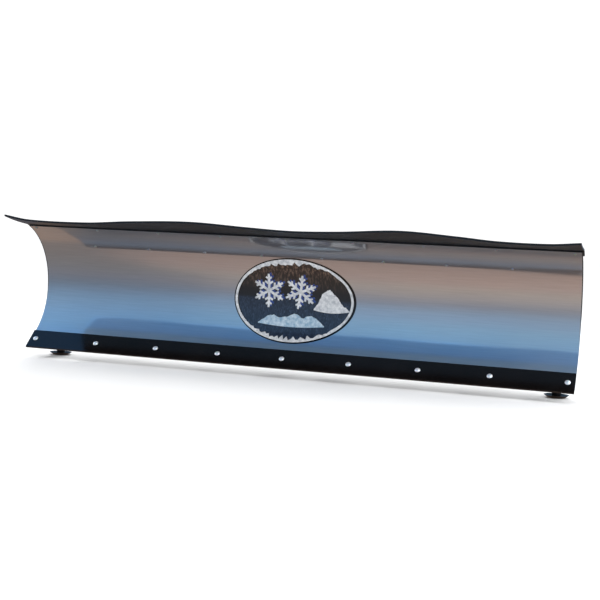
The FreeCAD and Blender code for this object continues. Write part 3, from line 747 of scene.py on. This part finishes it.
# what bright metal mirrors, from straight below (0) to straight above (1)
SCENERY_LEFT = [
    (0.03, srgb(129, 124, 121)), (0.22, srgb(125, 127, 132)), (0.316, srgb(122, 125, 138)),
    (0.42, srgb(106, 121, 141)), (0.52, srgb(113, 142, 174)), (0.625, srgb(118, 160, 200)),
    (0.725, srgb(116, 164, 210)), (0.83, srgb(116, 172, 226)), (0.90, srgb(114, 174, 226)),
    (1.0, srgb(90, 158, 242)),
]
SCENERY_RIGHT = [
    (0.03, srgb(194, 166, 153)), (0.13, srgb(199, 172, 161)), (0.21, srgb(199, 184, 172)),
    (0.31, srgb(186, 176, 172)), (0.415, srgb(157, 160, 172)), (0.524, srgb(160, 186, 215)),
    (0.62, srgb(160, 192, 226)), (0.72, srgb(154, 200, 236)), (0.816, srgb(148, 200, 242)),
    (1.0, srgb(134, 190, 248)),
]
BEHIND = srgb(170, 148, 135)
PALE_SKY = srgb(228, 240, 252)


def scenery_colour(sky, level):
    """The scenery's colour, `level` being 0 straight below and 1 straight above: a darker left, a
    brighter right, and brown ground behind."""
    slant = sky.maths("MULTIPLY", sky.maths("MINIMUM", level, 0.24), -0.45)
    across = sky.maths("ADD", sky.maths("ADD", sky.axis("X"), 1.0), slant)
    rightward = sky.ramp(across, (0.485, 0.0), (0.52, 0.7), (0.59, 0.9), (0.80, 1.0))
    scenery = sky.mix(rightward, sky.ramp(level, *SCENERY_LEFT), sky.ramp(level, *SCENERY_RIGHT))
    behind = sky.maths("MULTIPLY", sky.smooth(sky.axis("Y"), -0.1, 0.1), sky.smooth(level, 0.40, 0.30))
    return sky.mix(behind, scenery, BEHIND)


def mirrored_scenery(sky):
    """An open sky over brown ground. The sky is pale and bright to the sides, and dimmer dead ahead."""
    level = sky.maths("MULTIPLY", sky.maths("ADD", sky.axis("Z"), 1.0), 0.5)
    sides = sky.maths("ADD", sky.smooth(sky.axis("X"), 0.30, 0.50), sky.smooth(sky.axis("X"), -0.70, -0.85))
    pale = sky.maths("MULTIPLY", sides, sky.smooth(level, 0.5, 0.6))
    brighter = sky.maths("ADD", sky.maths("MULTIPLY", pale, PALE_GAIN), 1.0)
    ahead = sky.maths("MULTIPLY", sky.smooth(sky.axis("X"), -0.19, -0.08), sky.smooth(level, 0.28, 0.40))
    strength = sky.maths("SUBTRACT", brighter, sky.maths("MULTIPLY", ahead, AHEAD_LOSS))
    background = sky.tree.nodes.new("ShaderNodeBackground")
    sky.tree.links.new(sky.mix(pale, scenery_colour(sky, level), PALE_SKY), background.inputs["Color"])
    sky.tree.links.new(strength, background.inputs["Strength"])
    return background.outputs["Background"]


def make_world():
    """Even white light, with scenery for the metal alone to mirror."""
    world = bpy.data.worlds.new("studio")
    bpy.context.scene.world = world
    world.use_nodes = True
    world.node_tree.nodes.clear()
    sky = Nodes(world.node_tree, "Generated")
    add = sky.tree.nodes.new
    link = sky.tree.links.new
    plain = add("ShaderNodeBackground")
    plain.inputs["Color"].default_value = (1.0, 1.0, 1.0, 1.0)
    plain.inputs["Strength"].default_value = ROOM_LIGHT
    choose = add("ShaderNodeMixShader")
    link(add("ShaderNodeLightPath").outputs["Is Glossy Ray"], choose.inputs["Fac"])
    link(plain.outputs["Background"], choose.inputs[1])
    link(mirrored_scenery(sky), choose.inputs[2])
    link(choose.outputs["Shader"], add("ShaderNodeOutputWorld").inputs["Surface"])


def hide_from_view(piece):
    """Leaves a panel to mirrors alone."""
    piece.visible_camera = False
    piece.visible_diffuse = False
    piece.visible_shadow = False


def one_sided_glow():
    """A blue glow on a face's front. Its back can't be seen."""
    material = bpy.data.materials.new("panel_ahead")
    material.use_nodes = True
    material.node_tree.nodes.clear()
    nodes = Nodes(material.node_tree, "Object")
    add = nodes.tree.nodes.new
    link = nodes.tree.links.new
    glow = add("ShaderNodeEmission")
    shade = nodes.ramp(nodes.noise(1.5, 2.0), (0.3, (0.08, 0.20, 0.33, 1)), (0.7, (0.12, 0.24, 0.37, 1)))
    link(shade, glow.inputs["Color"])
    choose = add("ShaderNodeMixShader")
    link(add("ShaderNodeNewGeometry").outputs["Backfacing"], choose.inputs["Fac"])
    link(glow.outputs["Emission"], choose.inputs[1])
    link(add("ShaderNodeBsdfTransparent").outputs["BSDF"], choose.inputs[2])
    link(choose.outputs["Shader"], add("ShaderNodeOutputMaterial").inputs["Surface"])
    return material


def make_panel_ahead(left, right, near, far, height):
    """A dark blue card lying in front of the face, lit on top only. Just the top of the face mirrors
    it, and the foot of the face mirrors that."""
    corners = [(left, far, height), (right, far, height), (right, near, height), (left, near, height)]
    card = new_object("panel_ahead", corners, [(0, 1, 2, 3)], one_sided_glow(), smooth=False)
    hide_from_view(card)


def make_lamp_under_deflector(name, near, far, drop, tilt, radiance):
    """A dim blue lamp under the deflector, for the foot of the face alone to mirror. It reaches from
    `near` to `far`, both measured forward from the hinge, and `drop` below it."""
    data = bpy.data.lights.new(name, "AREA")
    data.shape = "RECTANGLE"
    data.size = 2 * FLAP_HALF
    data.size_y = far - near
    data.color = LAMP_BLUE
    data.energy = radiance * pi * data.size * data.size_y
    lamp = bpy.data.objects.new(name, data)
    bpy.context.scene.collection.objects.link(lamp)
    lamp.location = face_point(0, TOP_ANGLE, SHEET) - Vector((0, (near + far) / 2, drop))
    lamp.rotation_euler = (tilt, 0.0, 0.0)
    hide_from_view(lamp)
    lit = bpy.data.collections.new(name)
    lit.objects.link(frame["nodes"]["moldboard"])
    lamp.light_linking.receiver_collection = lit


def make_light(name, place, size, power):
    """A soft round lamp aimed at the blade, which mirrors don't show."""
    data = bpy.data.lights.new(name, "AREA")
    data.shape = "DISK"
    data.size = size
    data.energy = power
    lamp = bpy.data.objects.new(name, data)
    bpy.context.scene.collection.objects.link(lamp)
    lamp.location = place
    lamp.rotation_euler = (Vector(LIGHT_TARGET) - Vector(place)).to_track_quat("-Z", "Y").to_euler()
    lamp.visible_glossy = False


def make_camera():
    """The camera stands nearly in front of the blade's right end, turned towards the left and rolled."""
    data = bpy.data.cameras.new("camera")
    data.lens = CAMERA_LENS
    data.sensor_width = SENSOR
    camera = bpy.data.objects.new("camera", data)
    bpy.context.scene.collection.objects.link(camera)
    to_camera = (
        Matrix.Rotation(radians(CAMERA_ROLL), 3, "Y")
        @ Matrix.Rotation(radians(CAMERA_PITCH), 3, "X")
        @ Matrix.Rotation(radians(CAMERA_YAW), 3, "Z")
    )
    look = Matrix.Rotation(radians(90), 3, "X")
    camera.matrix_world = Matrix.Translation(CAMERA_PLACE) @ (to_camera.transposed() @ look).to_4x4()
    bpy.context.scene.camera = camera


make_floor()
make_world()
make_panel_ahead(left=-1.9, right=1.3, near=-0.12, far=-2.0, height=0.30)
make_lamp_under_deflector("panel_under_deflector", near=0.013, far=0.149, drop=0.0, tilt=radians(-7),
                          radiance=0.43)
make_lamp_under_deflector("panel_at_hinge", near=-0.005, far=0.013, drop=0.0083, tilt=0.0, radiance=0.22)
make_light("key", place=(3.6, -1.6, 3.2), size=2.2, power=90.0)
make_light("back", place=(-1.5, 3.0, 2.4), size=1.8, power=90.0)
make_camera()
bpy.context.scene.view_settings.view_transform = "Standard"
